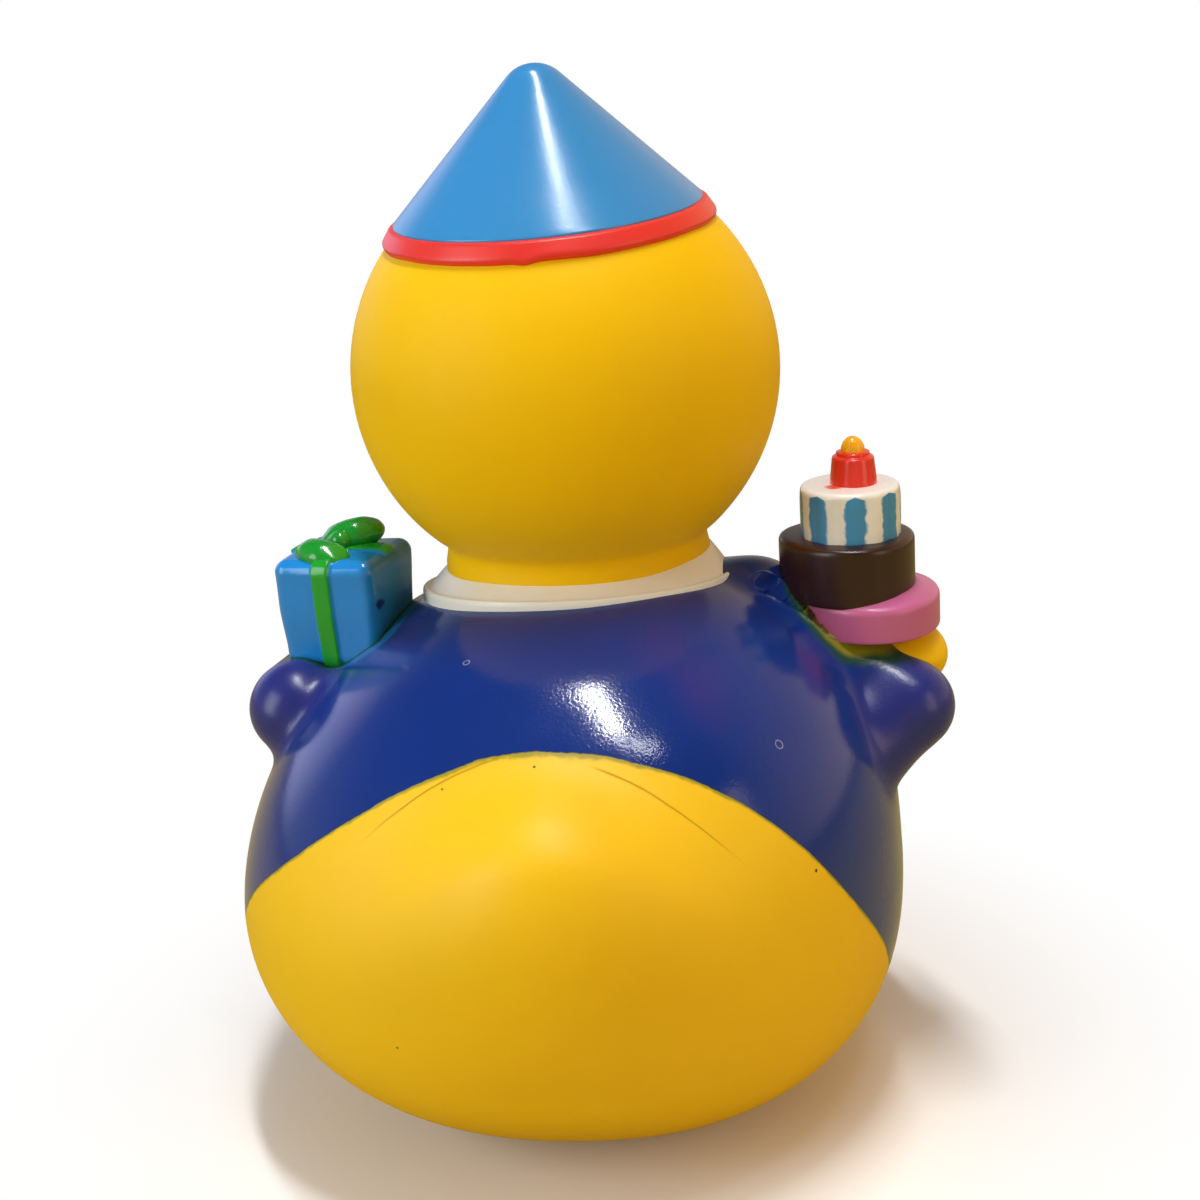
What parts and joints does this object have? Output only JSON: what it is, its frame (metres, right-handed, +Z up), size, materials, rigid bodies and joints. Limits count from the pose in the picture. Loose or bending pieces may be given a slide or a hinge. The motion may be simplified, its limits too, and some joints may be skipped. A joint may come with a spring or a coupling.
{
  "type": "rubber duck",
  "caption": "Hollow vinyl bath duck dressed for a birthday, with a cone hat, a painted navy shirt, a wrapped present and a tiered cake.",
  "frame": {"origin": "middle of the overall box, on the surface that the duck stands on", "axes": "+Z up through the hat, -Y out of the bill, +X to the duck's left, where it holds the present"},
  "size_m": [0.0738, 0.0756, 0.1023],
  "materials": {
    "vinyl": "matte yellow soft vinyl, spray-painted and hand-painted in gloss navy, cream, sky blue, red, green, pink, brown and white"
  },
  "bodies": {
    "root": {"duck_body": "vinyl"}
  },
  "joints": []
}
